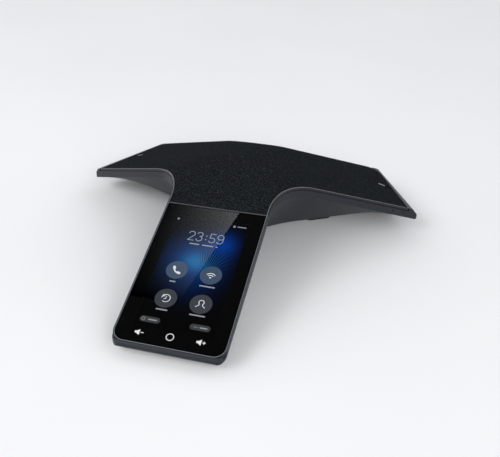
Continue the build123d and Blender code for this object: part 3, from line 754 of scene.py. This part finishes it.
def icon_marks():
    """Handset, radio waves, clock with arrow, and a plain head-and-shoulders figure."""
    m = Slab(MARK_TOP, MARK_TOP + LAYER / 2)
    x, s = -COLUMN, ROWS[0]
    m.stroke(arc(x + 3.3, s - 3.2, 6.2, 196, 254, 10), 1.25)
    m.stroke([(x - 2.7, s - 2.6), (x - 2.2, s - 1.2)], 2.2)
    m.stroke([(x + 1.2, s + 2.3), (x + 2.7, s + 2.7)], 2.2)
    x = COLUMN
    m.disc(x, s + 2.3, 0.75, 20)
    for r in (2.3, 4.1):
        m.stroke(arc(x, s + 2.3, r, 40, 140, 12), 0.75)
    x, s = -COLUMN, ROWS[1]
    m.stroke(arc(x, s, 3.35, 165, -165, 30)[:27], LINE_W)
    m.stroke(arc(x, s, 3.35, 172, 118, 6), LINE_W)
    m.stroke([(x, s - 1.7), (x, s + 0.2), (x - 1.3, s + 0.9)], 0.55)
    m.stroke([(x - 2.9, s - 3.1), (x - 2.6, s - 1.5), (x - 1.1, s - 1.9)], 0.55)
    x = COLUMN
    m.stroke(arc(x, s - 1.5, 2.0, -50, 230, 22), LINE_W)
    for side in (-1, 1):
        m.stroke([(x + side * 1.25, s + 0.1), (x + side * 1.5, s + 1.2),
                  (x + side * 3.5, s + 2.9)], LINE_W)
    m.build("icon_marks", mark_white)


def pill_marks():
    """Small marks and bars on the two pill buttons."""
    m = Slab(MARK_TOP, MARK_TOP + LAYER / 2)
    m.stroke(arc(-24.5, 115.4, 1.25, 0, 360, 16), 0.35)
    m.pill(-17.4, 115.4, 7.0, 1.0)
    for k in range(3):
        m.disc(14.6 + 1.1 * k, 114.8, 0.35, 12)
    m.pill(21.6, 114.8, 6.0, 1.0)
    m.build("pill_marks", soft_white)


def key_print():
    """Printed touch keys below the picture: quieter, home ring, louder."""
    ink = Slab(PRINT_TOP - LAYER * 0.6, PRINT_TOP - LAYER * 0.3)
    for x, s in ((-23.7, 127.4), (23.0, 126.6)):
        ink.polygon([(x - 3.2, s - 0.9), (x - 1.9, s - 0.9), (x + 0.4, s - 2.5),
                     (x + 0.4, s + 2.5), (x - 1.9, s + 0.9), (x - 3.2, s + 0.9)])
        ink.stroke([(x + 1.5, s), (x + 3.4, s)], LINE_W)
        if x > 0:
            ink.stroke([(x + 2.45, s - 0.95), (x + 2.45, s + 0.95)], LINE_W)
    ink.stroke(arc(-0.1, 126.9, 2.75, 0, 360, 40), LINE_W)
    ink.build("key_print", ink_white)


clock_digits()
text_bars()
icon_discs()
icon_marks()
pill_marks()
key_print()

# ---- Floor, lights and camera --------------------------------------------------------
EYE = (0.13621, HUB_Y - 0.52323, 0.31722)
LENS, SHIFT = 47.28, (0.0545, 0.0679)
VIEW_AZIMUTH, VIEW_ELEVATION = math.radians(15.96), math.radians(33.5)
FLOOR_HALF = 30.0
SKY_STRENGTH = 1.35
# Where the sheen's outline falls on the glass, in millimetres across and along it.
GLARE_CORNERS = ((20.5, -3.0), (-3.5, 98.0), (-62.0, 98.0), (-50.0, -3.0))
GLARE_HEIGHT = 1.1
GLARE_LEVEL = 0.95


def studio():
    floor_mesh = bpy.data.meshes.new("floor")
    span = FLOOR_HALF
    floor_mesh.from_pydata([(-span, -span, 0), (span, -span, 0), (span, span, 0),
                            (-span, span, 0)], [], [(0, 1, 2, 3)])
    floor = bpy.data.objects.new("floor", floor_mesh)
    bpy.context.scene.collection.objects.link(floor)
    g = Graph("floor_paper")
    g.link(g.ramp(g.noise(3.0), [(0.3, (0.86, 0.86, 0.87)), (0.7, (0.89, 0.89, 0.90))]),
           "Base Color")
    g.set(Roughness=0.9)
    floor_mesh.materials.append(g.material)
    floor.visible_diffuse = False
    bpy.context.scene.world = studio_sky()
    softbox("key_light", (-1.3, -0.9, 1.3), (0.0, 0.0, 0.0), (1.3, 1.0), 11.0)
    softbox("front_fill", (1.1, -1.6, 0.8), (0.0, 0.0, 0.0), (1.2, 0.8), 12.0)
    glare_panel()


def studio_sky():
    """Dark from below, bright from the horizon up, and dark overhead for a black glass."""
    world = bpy.data.worlds.new("studio")
    world.use_nodes = True
    tree = world.node_tree
    coords = tree.nodes.new("ShaderNodeTexCoord")
    split = tree.nodes.new("ShaderNodeSeparateXYZ")
    ramp = tree.nodes.new("ShaderNodeValToRGB")
    tree.links.new(coords.outputs["Generated"], split.inputs[0])
    height = tree.nodes.new("ShaderNodeMath")
    height.operation = "MULTIPLY_ADD"
    height.inputs[1].default_value = height.inputs[2].default_value = 0.5
    tree.links.new(split.outputs[2], height.inputs[0])
    tree.links.new(height.outputs[0], ramp.inputs["Fac"])
    tree.links.new(ramp.outputs["Color"], tree.nodes["Background"].inputs["Color"])
    stops = [(0.0, 0.08), (0.49, 0.12), (0.51, 0.40), (0.6, 0.62), (0.68, 1.0),
             (0.86, 1.0), (0.92, 0.03), (1.0, 0.02)]
    while len(ramp.color_ramp.elements) < len(stops):
        ramp.color_ramp.elements.new(0.5)
    for element, (place, level) in zip(ramp.color_ramp.elements, stops):
        element.position = place
        element.color = (level * 0.97, level * 0.985, level, 1.0)
    tree.nodes["Background"].inputs["Strength"].default_value = SKY_STRENGTH
    return world


def softbox(name, place, target, size, watts):
    light = bpy.data.lights.new(name, "AREA")
    light.shape = "RECTANGLE"
    light.size, light.size_y = size
    light.energy = watts
    lamp = bpy.data.objects.new(name, light)
    lamp.location = place
    lamp.rotation_euler = (Vector(target) - Vector(place)).to_track_quat("-Z", "Y").to_euler()
    lamp.visible_camera = False
    bpy.context.scene.collection.objects.link(lamp)


def glare_panel():
    """Dim panel overhead whose straight edge shows in the glass as a slanting sheen."""
    normal = Vector((0.0, -SIN_T, COS_T))
    on_glass = glass_point(0.0, 0.0, GAP)
    eye = Vector(EYE)
    mirrored = eye - 2 * (eye - on_glass).dot(normal) * normal
    corners = []
    for x, s in GLARE_CORNERS:
        ray = (glass_point(x * MM, s * MM, GAP) - mirrored).normalized()
        corners.append(mirrored + ray * (GLARE_HEIGHT - mirrored.z) / ray.z)
    mesh = bpy.data.meshes.new("glare_panel")
    mesh.from_pydata(corners, [], [(0, 1, 2, 3)])
    layer = mesh.uv_layers.new(name="fade")
    for loop, uv in enumerate(((1, 1), (1, 0), (0, 0), (0, 1))):
        layer.data[loop].uv = uv
    panel = bpy.data.objects.new("glare_panel", mesh)
    bpy.context.scene.collection.objects.link(panel)
    g = Graph("glare_panel")
    uv = g.tree.nodes.new("ShaderNodeTexCoord").outputs["UV"]
    split = g.node("ShaderNodeSeparateXYZ", {0: uv})
    across = g.math("POWER", split.outputs[0], 1.6)
    down = g.math("POWER", split.outputs[1], 1.1)
    level = g.math("MULTIPLY", g.math("MULTIPLY", across, down), GLARE_LEVEL)
    g.link(level, "Emission Strength")
    g.set(Base_Color=(0.0, 0.0, 0.0, 1.0), Emission_Color=(0.90, 0.96, 1.0, 1.0),
          Roughness=1.0, Specular_IOR_Level=0.0)
    mesh.materials.append(g.material)
    panel.visible_camera = False
    panel.visible_diffuse = False
    panel.visible_shadow = False


def camera():
    view = bpy.data.cameras.new("camera")
    view.lens = LENS
    view.sensor_width = 36.0
    view.shift_x, view.shift_y = SHIFT
    view.clip_start = 0.01
    eye = bpy.data.objects.new("camera", view)
    eye.location = EYE
    eye.rotation_euler = (math.pi / 2 - VIEW_ELEVATION, 0.0, VIEW_AZIMUTH)
    bpy.context.scene.collection.objects.link(eye)
    bpy.context.scene.camera = eye


studio()
camera()
bpy.context.scene.view_settings.view_transform = "Standard"

soften("bottom_case", 0.25 * MM)
soften("top_trim", 0.15 * MM)
